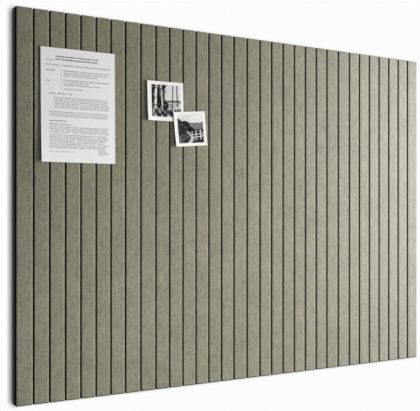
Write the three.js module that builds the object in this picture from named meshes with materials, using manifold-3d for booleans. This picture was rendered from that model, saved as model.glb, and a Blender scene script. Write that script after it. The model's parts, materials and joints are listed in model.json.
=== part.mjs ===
// Felt bulletin board for a wall: upright felt slats on four backing panels, a black frame behind them,
// and a pair of hooked cleats that hang the frame on the wall.
// Millimetres. +X runs to the right along the board, +Y into the wall, +Z up. The front faces -Y.
// The origin is the centre of the wall cleat's back face.

import * as THREE from 'three';
import { mergeVertices } from 'three/addons/utils/BufferGeometryUtils.js';
import Module from 'manifold-3d';

const wasm = await Module();
wasm.setup();

// Felt front: panels of slats, side by side
const panelCount = 4;
const innerSlatsPerPanel = 6;
const innerSlatWidth = 39.6;
const edgeSlatWidth = 43.2;
const grooveWidth = 4;
const panelGap = 4;
const boardHeight = 1016;
const slatThickness = 9;
const slatEdgeRadius = 2.2;
const backingThickness = 6;

// Frame behind the felt
const frameDepth = 18;
const railHeight = 60;
const sideStileWidth = 50;
const jointStileWidth = 60;
const tenonLength = 24;
const tenonThickness = 6;
const tenonShoulder = 8;
const tenonClearance = 0.3;

// Hooked cleats, one on the frame and one on the wall
const cleatLength = 1200;
const cleatSheet = 2;
const cleatStandoff = 5;
const lipPlay = 0.3;
const lipHeight = 12;
const lipHeadroom = 0.5;
const wallCleatHeight = 30;
const boardCleatHeight = 24;
const wallHoleCount = 4;
const wallHoleRadius = 2.75;
const wallHoleEndDistance = 60;
const topAboveOrigin = 60;

// Screws that hold the board cleat to the top rail
const screwCount = 5;
const screwEndDistance = 40;
const screwShankRadius = 1.75;
const screwShankLength = 15;
const screwTipLength = 3;
const screwHeadRadius = 3.8;
const screwHeadHeight = 1.9;
const screwClearance = 0.3;

// Rubber bumpers at the lower corners
const bumperRadius = 11;
const bumperEndDistance = 30;
const bumperRimRadius = 1.2;

// Sheets of paper and the hook pads that hold them to the felt. Each sheet's place is its top left corner,
// from the board's left and top edges, and its tilt is in degrees anticlockwise.
const printThickness = 0.5;
const printPadThickness = 3;
const lapClearance = 0.5;
const noteSheet = {
  width: 210,
  height: 297,
  thickness: 0.4,
  left: 62.5,
  topDrop: 95.7,
  tilt: 0.3,
  leftCurl: 0,
  cornerCurl: 4,
  padThickness: 3,
  padWidth: 120,
  padHeight: 20,
  padInset: 14,
};
const firstPrint = {
  width: 116,
  height: 110,
  thickness: printThickness,
  left: 370.5,
  topDrop: 156.5,
  tilt: 1.1,
  leftCurl: 2,
  cornerCurl: 4,
  padThickness: printPadThickness,
  padWidth: 24,
  padHeight: 24,
  padInset: 10,
};
const secondPrint = {
  width: 105,
  height: 98,
  thickness: printThickness,
  left: 453.4,
  topDrop: 238.7,
  tilt: 4.9,
  leftCurl: 1.6,
  cornerCurl: 3.5,
  padThickness: printPadThickness + printThickness + lapClearance,
  padWidth: 24,
  padHeight: 24,
  padInset: 10,
};
const flatShare = 0.42;
const curlPower = 2;

// How finely round shapes are cut
const edgeSteps = 3;
const roundSegments = 24;
const sheetColumns = 10;
const sheetRows = 10;
const cutOverrun = 1;

// Sizes worked out from the ones above
const slatsPerPanel = innerSlatsPerPanel + 2;
const panelWidth =
  innerSlatsPerPanel * innerSlatWidth + 2 * edgeSlatWidth + (slatsPerPanel - 1) * grooveWidth;
const panelPitch = panelWidth + panelGap;
const boardWidth = panelCount * panelWidth + (panelCount - 1) * panelGap;
const boardLeft = -boardWidth / 2;
const boardTop = topAboveOrigin;
const boardBottom = boardTop - boardHeight;
const frameBack = -cleatStandoff;
const frameFront = frameBack - frameDepth;
const backingFront = frameFront - backingThickness;
const feltFront = backingFront - slatThickness;

const feltMaterial = new THREE.MeshStandardMaterial({ color: 0x8d8b73, roughness: 0.95, metalness: 0 });
const backingMaterial = new THREE.MeshStandardMaterial({ color: 0x17171a, roughness: 0.95, metalness: 0 });
const frameMaterial = new THREE.MeshStandardMaterial({ color: 0x1c1c1e, roughness: 0.42, metalness: 0 });
const cleatMaterial = new THREE.MeshStandardMaterial({ color: 0xb4b7ba, roughness: 0.35, metalness: 0.9 });
const screwMaterial = new THREE.MeshStandardMaterial({ color: 0xa9abad, roughness: 0.3, metalness: 0.95 });
const bumperMaterial = new THREE.MeshStandardMaterial({ color: 0x202022, roughness: 0.85, metalness: 0 });
const paperMaterial = new THREE.MeshStandardMaterial({ color: 0xf2f2ee, roughness: 0.9, metalness: 0 });
const printMaterial = new THREE.MeshStandardMaterial({ color: 0xe9e8e3, roughness: 0.5, metalness: 0 });
const padMaterial = new THREE.MeshStandardMaterial({ color: 0x2a2a2c, roughness: 0.95, metalness: 0 });

/** A named solid with a finish of its own. */
function piece(name, geometry, material) {
  const mesh = new THREE.Mesh(geometry, material.clone());
  mesh.name = name;
  return mesh;
}

/** A solid for joining and cutting, from a closed geometry. */
function toSolid(geometry) {
  const bare = geometry.clone();
  bare.deleteAttribute('normal');
  bare.deleteAttribute('uv');
  const merged = mergeVertices(bare);
  return new wasm.Manifold(
    new wasm.Mesh({
      numProp: 3,
      vertProperties: new Float32Array(merged.attributes.position.array),
      triVerts: new Uint32Array(merged.index.array),
    }),
  );
}

/** The geometry of a joined or cut solid. */
function toGeometry(solid) {
  const { vertProperties, triVerts } = solid.getMesh();
  const indexed = new THREE.BufferGeometry();
  indexed.setAttribute('position', new THREE.BufferAttribute(vertProperties, 3));
  indexed.setIndex(new THREE.BufferAttribute(triVerts, 1));
  const geometry = indexed.toNonIndexed();
  geometry.computeVertexNormals();
  return geometry;
}

/** A box between two corners. */
function boxBetween(low, high) {
  const size = high.clone().sub(low);
  const centre = low.clone().add(high).multiplyScalar(0.5);
  return new THREE.BoxGeometry(size.x, size.y, size.z).translate(centre.x, centre.y, centre.z);
}

/** A cylinder along Y between two depths, over a place on the XZ plane. */
function cylinderAlongY(radius, x, z, fromY, toY) {
  return new THREE.CylinderGeometry(radius, radius, toY - fromY, roundSegments).translate(
    x,
    (fromY + toY) / 2,
    z,
  );
}

/** The places of a row of things, evenly spread between two ends. */
function evenlySpread(count, first, last) {
  return Array.from({ length: count }, (_, i) => first + ((last - first) * i) / (count - 1));
}

/**
 * A slab standing on the XZ plane with its back at y = 0 and its front at y = -thickness. The front edges
 * are eased all round by a quarter circle, cut in a few steps.
 */
function easedSlab(width, height, thickness, radius) {
  const rings = [{ inset: 0, y: 0 }];
  for (let i = 0; i <= edgeSteps; i++) {
    const turn = (i / edgeSteps) * (Math.PI / 2);
    rings.push({
      inset: radius * (1 - Math.cos(turn)),
      y: -(thickness - radius + radius * Math.sin(turn)),
    });
  }
  const corners = [
    [0, 0],
    [1, 0],
    [1, 1],
    [0, 1],
  ];
  const positions = [];
  for (const ring of rings) {
    for (const [right, up] of corners) {
      positions.push(
        right ? width - ring.inset : ring.inset,
        ring.y,
        up ? height - ring.inset : ring.inset,
      );
    }
  }
  const faces = [0, 2, 1, 0, 3, 2];
  const sides = corners.length;
  for (let r = 0; r < rings.length - 1; r++) {
    for (let k = 0; k < sides; k++) {
      const a = r * sides + k;
      const b = r * sides + ((k + 1) % sides);
      faces.push(a, b, b + sides, a, b + sides, a + sides);
    }
  }
  const front = (rings.length - 1) * sides;
  faces.push(front, front + 1, front + 2, front, front + 2, front + 3);
  return solidFaces(positions, faces);
}

/** A flat-shaded geometry from shared points and triangles, turned the right way out. */
function solidFaces(positions, faces) {
  const indexed = new THREE.BufferGeometry();
  indexed.setAttribute('position', new THREE.Float32BufferAttribute(positions, 3));
  indexed.setIndex(faces);
  const geometry = indexed.toNonIndexed();
  geometry.computeVertexNormals();
  return geometry;
}

/** The left edges and widths of one panel's slats, from the panel's left edge. */
function slatsOfPanel() {
  const slats = [];
  let left = 0;
  for (let i = 0; i < slatsPerPanel; i++) {
    const isEdge = i === 0 || i === slatsPerPanel - 1;
    const width = isEdge ? edgeSlatWidth : innerSlatWidth;
    slats.push({ left, width });
    left += width + grooveWidth;
  }
  return slats;
}

/** The felt panels: each a black backing with its slats glued upright on it. */
function feltPanels() {
  const felt = new THREE.Group();
  for (let p = 0; p < panelCount; p++) {
    const panel = new THREE.Group();
    panel.position.set(boardLeft + p * panelPitch, 0, boardBottom);
    const backing = piece(
      `felt_backing_${p + 1}`,
      new THREE.BoxGeometry(panelWidth, backingThickness, boardHeight),
      backingMaterial,
    );
    backing.position.set(panelWidth / 2, (frameFront + backingFront) / 2, boardHeight / 2);
    panel.add(backing);
    slatsOfPanel().forEach(({ left, width }, i) => {
      const number = String(p * slatsPerPanel + i + 1).padStart(2, '0');
      const slat = piece(
        `felt_slat_${number}`,
        easedSlab(width, boardHeight, slatThickness, slatEdgeRadius),
        feltMaterial,
      );
      slat.position.set(left, backingFront, 0);
      panel.add(slat);
    });
    felt.add(panel);
  }
  return felt;
}

/** The frame's stiles, as their names, left edges and widths. */
function stilePlaces() {
  const places = [{ name: 'frame_left_stile', left: boardLeft, width: sideStileWidth }];
  for (let p = 1; p < panelCount; p++) {
    const joint = boardLeft + p * panelPitch - panelGap / 2;
    places.push({
      name: `frame_joint_stile_${p}`,
      left: joint - jointStileWidth / 2,
      width: jointStileWidth,
    });
  }
  places.push({
    name: 'frame_right_stile',
    left: -boardLeft - sideStileWidth,
    width: sideStileWidth,
  });
  return places;
}

const tenonY = {
  from: (frameFront + frameBack) / 2 - tenonThickness / 2,
  to: (frameFront + frameBack) / 2 + tenonThickness / 2,
};

/** An upright member between the rails, with a tenon on each end. */
function stile({ name, left, width }) {
  const low = boardBottom + railHeight;
  const high = boardTop - railHeight;
  const body = toSolid(
    boxBetween(
      new THREE.Vector3(left, frameFront, low),
      new THREE.Vector3(left + width, frameBack, high),
    ),
  );
  const tongue = toSolid(
    boxBetween(
      new THREE.Vector3(left + tenonShoulder, tenonY.from, low - tenonLength),
      new THREE.Vector3(left + width - tenonShoulder, tenonY.to, high + tenonLength),
    ),
  );
  return piece(name, toGeometry(body.add(tongue)), frameMaterial);
}

/** The pockets that take the stiles' tenons, deeper and wider than them by the clearance. */
function mortises(innerEdge, intoRail) {
  const depth = tenonLength + tenonClearance;
  return stilePlaces().map(({ left, width }) =>
    toSolid(
      boxBetween(
        new THREE.Vector3(
          left + tenonShoulder - tenonClearance,
          tenonY.from - tenonClearance,
          intoRail > 0 ? innerEdge - cutOverrun : innerEdge - depth,
        ),
        new THREE.Vector3(
          left + width - tenonShoulder + tenonClearance,
          tenonY.to + tenonClearance,
          intoRail > 0 ? innerEdge + depth : innerEdge + cutOverrun,
        ),
      ),
    ),
  );
}

const boardCleatBase = {
  low: wallCleatHeight / 2 + lipHeight + lipHeadroom,
  get high() {
    return this.low + boardCleatHeight;
  },
  get screwLine() {
    return (this.low + cleatSheet + this.high) / 2;
  },
};
const screwPlaces = evenlySpread(
  screwCount,
  screwEndDistance - cleatLength / 2,
  cleatLength / 2 - screwEndDistance,
);

/** The bottom rail, over the full width of the board. */
function bottomRail() {
  const inner = boardBottom + railHeight;
  let rail = toSolid(
    boxBetween(
      new THREE.Vector3(boardLeft, frameFront, boardBottom),
      new THREE.Vector3(-boardLeft, frameBack, inner),
    ),
  );
  for (const pocket of mortises(inner, -1)) {
    rail = rail.subtract(pocket);
  }
  return piece('frame_bottom_rail', toGeometry(rail), frameMaterial);
}

/** The top rail, with pilot holes for the cleat's screws as well. */
function topRail() {
  const inner = boardTop - railHeight;
  let rail = toSolid(
    boxBetween(
      new THREE.Vector3(boardLeft, frameFront, inner),
      new THREE.Vector3(-boardLeft, frameBack, boardTop),
    ),
  );
  for (const pocket of mortises(inner, 1)) {
    rail = rail.subtract(pocket);
  }
  const screwEnd = frameBack + cleatSheet - screwShankLength - screwClearance;
  for (const x of screwPlaces) {
    const hole = cylinderAlongY(
      screwShankRadius + screwClearance,
      x,
      boardCleatBase.screwLine,
      screwEnd,
      frameBack + cutOverrun,
    );
    rail = rail.subtract(toSolid(hole));
  }
  return piece('frame_top_rail', toGeometry(rail), frameMaterial);
}

/** A strip with the given outline in the YZ plane, running along X and centred on it. */
function stripAlongX(outline, length) {
  const shape = new THREE.Shape(outline.map(([y, z]) => new THREE.Vector2(y, z)));
  const strip = new THREE.ExtrudeGeometry(shape, { depth: length, bevelEnabled: false });
  // The outline's first axis turns to Y, its second to Z and the length to X.
  const turn = new THREE.Matrix4().makeBasis(
    new THREE.Vector3(0, 1, 0),
    new THREE.Vector3(0, 0, 1),
    new THREE.Vector3(1, 0, 0),
  );
  return strip.applyMatrix4(turn).translate(-length / 2, 0, 0);
}

/** A cleat's strip with a row of round holes through its base. */
function drilledCleat(name, outline, holes) {
  let strip = toSolid(stripAlongX(outline, cleatLength));
  for (const x of holes.places) {
    const hole = cylinderAlongY(
      holes.radius,
      x,
      holes.height,
      -cleatStandoff - cutOverrun,
      cutOverrun,
    );
    strip = strip.subtract(toSolid(hole));
  }
  return piece(name, toGeometry(strip), cleatMaterial);
}

/** The wall's half: a base against the wall, and a lip that stands up clear of it. */
function wallCleat() {
  const low = -wallCleatHeight / 2;
  const seat = wallCleatHeight / 2;
  const lipFront = frameBack + lipPlay;
  const lipBack = lipFront + cleatSheet;
  const outline = [
    [0, low],
    [0, seat],
    [lipBack, seat],
    [lipBack, seat + lipHeight],
    [lipFront, seat + lipHeight],
    [lipFront, seat - cleatSheet],
    [-cleatSheet, seat - cleatSheet],
    [-cleatSheet, low],
  ];
  return drilledCleat('wall_cleat', outline, {
    places: evenlySpread(
      wallHoleCount,
      wallHoleEndDistance - cleatLength / 2,
      cleatLength / 2 - wallHoleEndDistance,
    ),
    radius: wallHoleRadius,
    height: 0,
  });
}

/** The board's half: a base on the top rail, and a lip that hangs down behind the wall's lip. */
function boardCleat() {
  const seat = wallCleatHeight / 2;
  const { low, high } = boardCleatBase;
  const lipBack = -lipPlay;
  const lipFront = lipBack - cleatSheet;
  const outline = [
    [frameBack, low],
    [lipFront, low],
    [lipFront, seat],
    [lipBack, seat],
    [lipBack, low + cleatSheet],
    [frameBack + cleatSheet, low + cleatSheet],
    [frameBack + cleatSheet, high],
    [frameBack, high],
  ];
  return drilledCleat('board_cleat', outline, {
    places: screwPlaces,
    radius: screwShankRadius + screwClearance,
    height: boardCleatBase.screwLine,
  });
}

/** A pan-head screw along Y: its head rests on the board cleat and its tip points into the rail. */
function cleatScrew(name, x) {
  const domeShare = 0.55;
  const profile = [
    [0, -screwShankLength],
    [screwShankRadius, screwTipLength - screwShankLength],
    [screwShankRadius, 0],
    [screwHeadRadius, 0],
    [screwHeadRadius, screwHeadHeight * domeShare],
    [screwHeadRadius * domeShare, screwHeadHeight],
    [0, screwHeadHeight],
  ].map(([r, y]) => new THREE.Vector2(r, y));
  const screw = piece(name, new THREE.LatheGeometry(profile, roundSegments), screwMaterial);
  screw.position.set(x, frameBack + cleatSheet, boardCleatBase.screwLine);
  return screw;
}

/** A round rubber bumper between the frame and the wall, with an eased rim on the wall's side. */
function bumper(name, x) {
  const profile = [
    [0, 0],
    [bumperRadius, 0],
    [bumperRadius, cleatStandoff - bumperRimRadius],
    [bumperRadius - bumperRimRadius, cleatStandoff],
    [0, cleatStandoff],
  ].map(([r, y]) => new THREE.Vector2(r, y));
  const pad = piece(name, new THREE.LatheGeometry(profile, roundSegments), bumperMaterial);
  pad.position.set(x, frameBack, boardBottom + bumperEndDistance);
  return pad;
}

/** How far a curl has lifted at a share of the way across: none over the flat part, then a smooth rise. */
function lift(share) {
  return Math.max(0, (share - flatShare) / (1 - flatShare)) ** curlPower;
}

/**
 * A sheet hanging with its top left corner at the origin, its back at y = 0 where it is flat. Its left side
 * and its lower left corner curl away from the board, towards -Y.
 */
function curledSheet({ width, height, thickness, leftCurl, cornerCurl }) {
  const positions = [];
  const faces = [];
  const across = sheetColumns + 1;
  const layer = across * (sheetRows + 1);
  for (const depth of [0, thickness]) {
    for (let j = 0; j <= sheetRows; j++) {
      for (let i = 0; i <= sheetColumns; i++) {
        const toRight = i / sheetColumns;
        const down = j / sheetRows;
        const left = lift(1 - toRight);
        const curl = leftCurl * left + cornerCurl * left * lift(down);
        positions.push(width * toRight, -curl - depth, -height * down);
      }
    }
  }
  const quad = (a, b, c, d) => faces.push(a, b, c, a, c, d);
  for (let j = 0; j < sheetRows; j++) {
    for (let i = 0; i < sheetColumns; i++) {
      const a = j * across + i;
      const below = a + across;
      quad(a, a + 1, below + 1, below);
      quad(layer + a, layer + below, layer + below + 1, layer + a + 1);
    }
  }
  for (let i = 0; i < sheetColumns; i++) {
    const bottom = sheetRows * across + i;
    quad(i, layer + i, layer + i + 1, i + 1);
    quad(bottom, bottom + 1, layer + bottom + 1, layer + bottom);
  }
  for (let j = 0; j < sheetRows; j++) {
    const left = j * across;
    const right = left + sheetColumns;
    quad(left, left + across, layer + left + across, layer + left);
    quad(right, layer + right, layer + right + across, right + across);
  }
  return solidFaces(positions, faces);
}

/** A sheet with its hook pad, turned about its top left corner by its tilt. */
function pinnedSheet(sheetName, padName, sheet, material) {
  const group = new THREE.Group();
  group.position.set(boardLeft + sheet.left, feltFront, boardTop - sheet.topDrop);
  group.rotation.y = THREE.MathUtils.degToRad(-sheet.tilt);
  const paper = piece(sheetName, curledSheet(sheet), material);
  paper.position.y = -sheet.padThickness;
  const pad = piece(
    padName,
    new THREE.BoxGeometry(sheet.padWidth, sheet.padThickness, sheet.padHeight),
    padMaterial,
  );
  pad.position.set(
    sheet.width - sheet.padInset - sheet.padWidth / 2,
    -sheet.padThickness / 2,
    -sheet.padInset - sheet.padHeight / 2,
  );
  group.add(paper, pad);
  return group;
}

const bulletinBoard = new THREE.Group();
bulletinBoard.add(feltPanels());
bulletinBoard.add(topRail(), bottomRail(), ...stilePlaces().map(stile));
bulletinBoard.add(boardCleat(), wallCleat());
screwPlaces.forEach((x, i) => bulletinBoard.add(cleatScrew(`cleat_screw_${i + 1}`, x)));
bulletinBoard.add(
  bumper('bumper_left', boardLeft + bumperEndDistance),
  bumper('bumper_right', -boardLeft - bumperEndDistance),
);
bulletinBoard.add(
  pinnedSheet('note_sheet', 'note_hook_pad', noteSheet, paperMaterial),
  pinnedSheet('photo_print_1', 'print_hook_pad_1', firstPrint, printMaterial),
  pinnedSheet('photo_print_2', 'print_hook_pad_2', secondPrint, printMaterial),
);

export default bulletinBoard;
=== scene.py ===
# %% [markdown]
# # A felt bulletin board
# The board is a black frame with four felt panels on it. Each panel is a sheet of black backing felt with eight
# upright slats of olive-grey pressed felt glued to it. A typed sheet and two small photo prints hang on the
# felt by hook pads. Behind the frame, a pair of hooked aluminium cleats and two rubber bumpers hold it to a wall.
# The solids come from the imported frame. This lesson gives each of them its finish, and makes again, with finer
# surfaces, what is soft, thin or round.

# %% Load the frame
import json
import math

import bmesh
import bpy
import numpy as np
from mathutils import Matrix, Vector

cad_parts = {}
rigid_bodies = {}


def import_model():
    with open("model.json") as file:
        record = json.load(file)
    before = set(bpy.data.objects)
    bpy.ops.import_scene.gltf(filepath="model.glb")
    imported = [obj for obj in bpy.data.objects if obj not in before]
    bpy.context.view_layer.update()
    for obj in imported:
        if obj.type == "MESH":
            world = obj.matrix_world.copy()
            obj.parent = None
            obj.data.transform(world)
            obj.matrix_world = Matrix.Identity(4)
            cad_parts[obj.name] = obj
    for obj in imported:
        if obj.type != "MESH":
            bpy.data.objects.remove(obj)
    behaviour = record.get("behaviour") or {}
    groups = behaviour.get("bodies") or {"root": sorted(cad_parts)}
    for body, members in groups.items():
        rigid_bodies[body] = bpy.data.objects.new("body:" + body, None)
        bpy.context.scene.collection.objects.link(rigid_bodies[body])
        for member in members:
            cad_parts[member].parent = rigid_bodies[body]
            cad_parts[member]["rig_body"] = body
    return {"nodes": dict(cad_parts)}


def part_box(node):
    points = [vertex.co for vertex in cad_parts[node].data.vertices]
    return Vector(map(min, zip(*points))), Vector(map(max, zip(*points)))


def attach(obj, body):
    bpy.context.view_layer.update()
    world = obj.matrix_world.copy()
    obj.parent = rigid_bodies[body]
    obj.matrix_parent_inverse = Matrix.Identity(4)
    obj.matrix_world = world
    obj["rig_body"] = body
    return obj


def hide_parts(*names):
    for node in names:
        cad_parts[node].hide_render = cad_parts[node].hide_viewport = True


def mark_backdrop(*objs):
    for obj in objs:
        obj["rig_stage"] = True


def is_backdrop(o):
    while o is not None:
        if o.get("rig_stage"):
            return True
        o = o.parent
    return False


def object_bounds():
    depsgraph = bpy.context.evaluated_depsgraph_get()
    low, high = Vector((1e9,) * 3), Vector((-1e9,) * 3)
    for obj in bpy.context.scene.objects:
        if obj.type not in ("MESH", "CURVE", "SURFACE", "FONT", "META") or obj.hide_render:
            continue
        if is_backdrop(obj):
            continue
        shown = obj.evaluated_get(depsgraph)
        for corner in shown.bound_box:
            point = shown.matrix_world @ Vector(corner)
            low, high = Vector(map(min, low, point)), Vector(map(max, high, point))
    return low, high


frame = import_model()
cad_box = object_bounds()
MM = 0.001
SLATS = sorted(name for name in frame["nodes"] if name.startswith("felt_slat_"))
print("nodes:", len(frame["nodes"]), "slats:", len(SLATS))

# %% [markdown]
# ## The board's own measures
# Everything that is made here takes its place from the solids it dresses. The board's outline is the box round
# all its slats, and its front is the plane of their faces.

# %% Measure the board
slat_boxes = {name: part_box(name) for name in SLATS}
board_left = min(low.x for low, high in slat_boxes.values())
board_right = max(high.x for low, high in slat_boxes.values())
board_bottom = min(low.z for low, high in slat_boxes.values())
board_top = max(high.z for low, high in slat_boxes.values())
felt_front = min(low.y for low, high in slat_boxes.values())
board_width = board_right - board_left
board_height = board_top - board_bottom
print(f"board {board_width:.3f} x {board_height:.3f} m, front at y = {felt_front:.3f} m")

# %% [markdown]
# ## The camera
# The photo is taken from the left with a level camera, so upright edges stay parallel and only the level ones
# run together. That makes it a two-point perspective, and the board's own size solves it. An upright edge looks
# shorter in proportion to its distance, so the heights of the left and right edges give the two distances in
# terms of the focal length. The two distances and the two places across the picture are then the sides of a
# triangle whose long side is the board's known width, which gives the turn of the camera and the focal length.

# %% Solve the camera from the board's four corners
PICTURE_WIDTH, PICTURE_HEIGHT = 420, 411
LEFT_EDGE_PX, LEFT_TOP_PX, LEFT_BOTTOM_PX = 16.48, 5.68, 406.87
RIGHT_EDGE_PX, RIGHT_TOP_PX, RIGHT_BOTTOM_PX = 416.83, 61.96, 357.06
SENSOR_MM = 36.0

left_tall = LEFT_BOTTOM_PX - LEFT_TOP_PX
right_tall = RIGHT_BOTTOM_PX - RIGHT_TOP_PX
centre_px = PICTURE_WIDTH / 2
across = board_height * ((RIGHT_EDGE_PX - centre_px) / right_tall - (LEFT_EDGE_PX - centre_px) / left_tall)
turn = math.acos(across / board_width)
focal_px = board_width * math.sin(turn) / (board_height * (1 / right_tall - 1 / left_tall))
left_away = focal_px * board_height / left_tall
left_aside = (LEFT_EDGE_PX - centre_px) * left_away / focal_px
horizon_px = LEFT_TOP_PX + (RIGHT_TOP_PX - LEFT_TOP_PX) * left_tall / (left_tall - right_tall)

forward = Vector((math.sin(turn), math.cos(turn), 0))
rightward = Vector((math.cos(turn), -math.sin(turn), 0))
top_left = Vector((board_left, felt_front, board_top))
below_top = (horizon_px - LEFT_TOP_PX) * left_away / focal_px
camera_place = top_left - forward * left_away - rightward * left_aside - Vector((0, 0, below_top))

camera_data = bpy.data.cameras.new("camera")
camera_data.sensor_width = SENSOR_MM
camera_data.lens = focal_px * SENSOR_MM / PICTURE_WIDTH
camera_data.shift_y = (horizon_px - PICTURE_HEIGHT / 2) / PICTURE_WIDTH
camera = bpy.data.objects.new("camera", camera_data)
camera.location = camera_place
camera.rotation_euler = forward.to_track_quat("-Z", "Y").to_euler()
bpy.context.scene.collection.objects.link(camera)
bpy.context.scene.camera = camera
bpy.context.scene.view_settings.view_transform = "Standard"
print(f"turn {math.degrees(turn):.2f} degrees, lens {camera_data.lens:.1f} mm, at {tuple(camera_place)}")

# %% [markdown]
# ## Helpers for nodes
# Materials are built from nodes in code. A small maker keeps that readable: it adds a node, sets its plain
# settings, and links or fills its inputs, so a pattern reads like the sum that it is. The room, the light and
# every finish below are made with it.

# %% Write the node helpers
FLOAT, VECTOR, COLOUR = "NodeSocketFloat", "NodeSocketVector", "NodeSocketColor"


class Nodes:
    """Adds nodes to one tree. An input is given a number, a colour or the output of another node."""

    def __init__(self, tree):
        self.tree = tree

    def fill(self, socket, value):
        """Links another node's output to a socket, or sets the socket to a plain value."""
        if isinstance(value, bpy.types.NodeSocket):
            self.tree.links.new(value, socket)
        else:
            socket.default_value = value

    def add(self, kind, inputs=(), **settings):
        """A new node with its settings made and its inputs filled."""
        node = self.tree.nodes.new(kind)
        for name, value in settings.items():
            setattr(node, name, value)
        for key, value in dict(inputs).items():
            self.fill(node.inputs[key], value)
        return node

    def math(self, operation, *values, clamp=False):
        """One step of arithmetic."""
        node = self.add("ShaderNodeMath", enumerate(values), operation=operation, use_clamp=clamp)
        return node.outputs[0]

    def chain(self, operation, first, *others):
        """The same arithmetic carried from the first value through all the others, as in a long sum."""
        for other in others:
            first = self.math(operation, first, other)
        return first

    def swing(self, value, weight=1.0):
        """How far a noise stands from its middle value, times a weight."""
        return self.math("MULTIPLY", self.math("SUBTRACT", value, 0.5), weight)

    def noise(self, vector, scale, detail=2.0, rough=0.5, distort=0.0):
        """Cloudy values between 0 and 1, finer with a larger scale."""
        inputs = {
            "Vector": vector, "Scale": scale, "Detail": detail, "Roughness": rough, "Distortion": distort,
        }
        return self.add("ShaderNodeTexNoise", inputs).outputs[0]

    def stretched(self, vector, scale):
        """Coordinates times a scale for each direction. A scale under 1 draws the pattern out that way."""
        inputs = {0: vector, 1: scale}
        return self.add("ShaderNodeVectorMath", inputs, operation="MULTIPLY").outputs[0]

    def span(self, value, from_low, from_high, to_low, to_high, smooth=False):
        """The value carried from one span to another and held at its ends."""
        inputs = {
            "Value": value, "From Min": from_low, "From Max": from_high, "To Min": to_low, "To Max": to_high,
        }
        kind = "SMOOTHSTEP" if smooth else "LINEAR"
        return self.add("ShaderNodeMapRange", inputs, interpolation_type=kind).outputs[0]

    def blend(self, share, first, second, mode="MIX"):
        """The second colour over the first by a share."""
        node = self.add("ShaderNodeMix", data_type="RGBA", blend_type=mode)
        self.fill(node.inputs[0], share)
        self.fill(node.inputs[6], first)
        self.fill(node.inputs[7], second)
        return node.outputs[2]

    def grey(self, level, blue=None):
        """A colour with the same level in red, green and blue, or with its own level of blue."""
        blue = level if blue is None else blue
        return self.add("ShaderNodeCombineColor", {0: level, 1: level, 2: blue}).outputs[0]

    def kept(self, name, output="Fac"):
        """A value or colour that the mesh keeps for each of its points."""
        return self.add("ShaderNodeAttribute", attribute_name=name).outputs[output]


def new_group(name, inputs, outputs):
    """A node group with named sockets: each entry is a name, a socket kind and, for an input, its value."""
    tree = bpy.data.node_groups.new(name, "ShaderNodeTree")
    for socket_name, kind, value in inputs:
        socket = tree.interface.new_socket(socket_name, in_out="INPUT", socket_type=kind)
        if value is not None:
            socket.default_value = value
    for socket_name, kind in outputs:
        tree.interface.new_socket(socket_name, in_out="OUTPUT", socket_type=kind)
    maker = Nodes(tree)
    return tree, maker, maker.add("NodeGroupInput").outputs, maker.add("NodeGroupOutput").inputs


def new_material(name, **constants):
    """A material with a Principled shader, whose constants are set on its own sockets."""
    material = bpy.data.materials.new(name)
    material.use_nodes = True
    tree = material.node_tree
    shader = tree.nodes["Principled BSDF"]
    for key, value in constants.items():
        shader.inputs[key.replace("_", " ")].default_value = value
    return material, Nodes(tree), shader


def place_group(nodes, group, values):
    """The outputs of a group that is placed on the piece's Object coordinates, with a material's own values."""
    spot = nodes.add("ShaderNodeTexCoord").outputs["Object"]
    return nodes.add("ShaderNodeGroup", {"Vector": spot, **values}, node_tree=group).outputs


def raise_surface(nodes, shader, height, distance, strength):
    """Gives the shader a bump from a height, where a height of 1 stands for the distance in metres."""
    bump = nodes.add("ShaderNodeBump", {"Height": height, "Distance": distance, "Strength": strength})
    nodes.fill(shader.inputs["Normal"], bump.outputs[0])


print("kinds of socket:", FLOAT, VECTOR, COLOUR)

# %% [markdown]
# ## The room
# The stage is a white wall, a pale floor and soft light. The wall and the floor are seen from their front only:
# a ray that meets the back of one goes through, so the board can also be looked at from behind. Lamps shine
# through them too, so the back of the board isn't in the dark.

# %% Make the stage
FLOOR_DROP = 0.75
STAGE_HALF = 6.0
WALL_TOP = 2.4
WALL_FOOT = 0.05
WALL_GAP = 0.0005
SHADOW_DEPTH = 2.3
floor_z = board_bottom - FLOOR_DROP


def flat_piece(name, corners):
    """One four-sided face through four corners, its front where they run anticlockwise."""
    mesh = bpy.data.meshes.new(name)
    mesh.from_pydata(corners, [], [(0, 1, 2, 3)])
    piece = bpy.data.objects.new(name, mesh)
    bpy.context.scene.collection.objects.link(piece)
    return piece


def seen_rays(nodes):
    """One for a ray that shows a surface: the camera's own, or one that gloss reflects or glass lets through."""
    path = nodes.add("ShaderNodeLightPath").outputs
    return nodes.chain("MAXIMUM", path["Is Camera Ray"], path["Is Glossy Ray"], path["Is Transmission Ray"])


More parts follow.
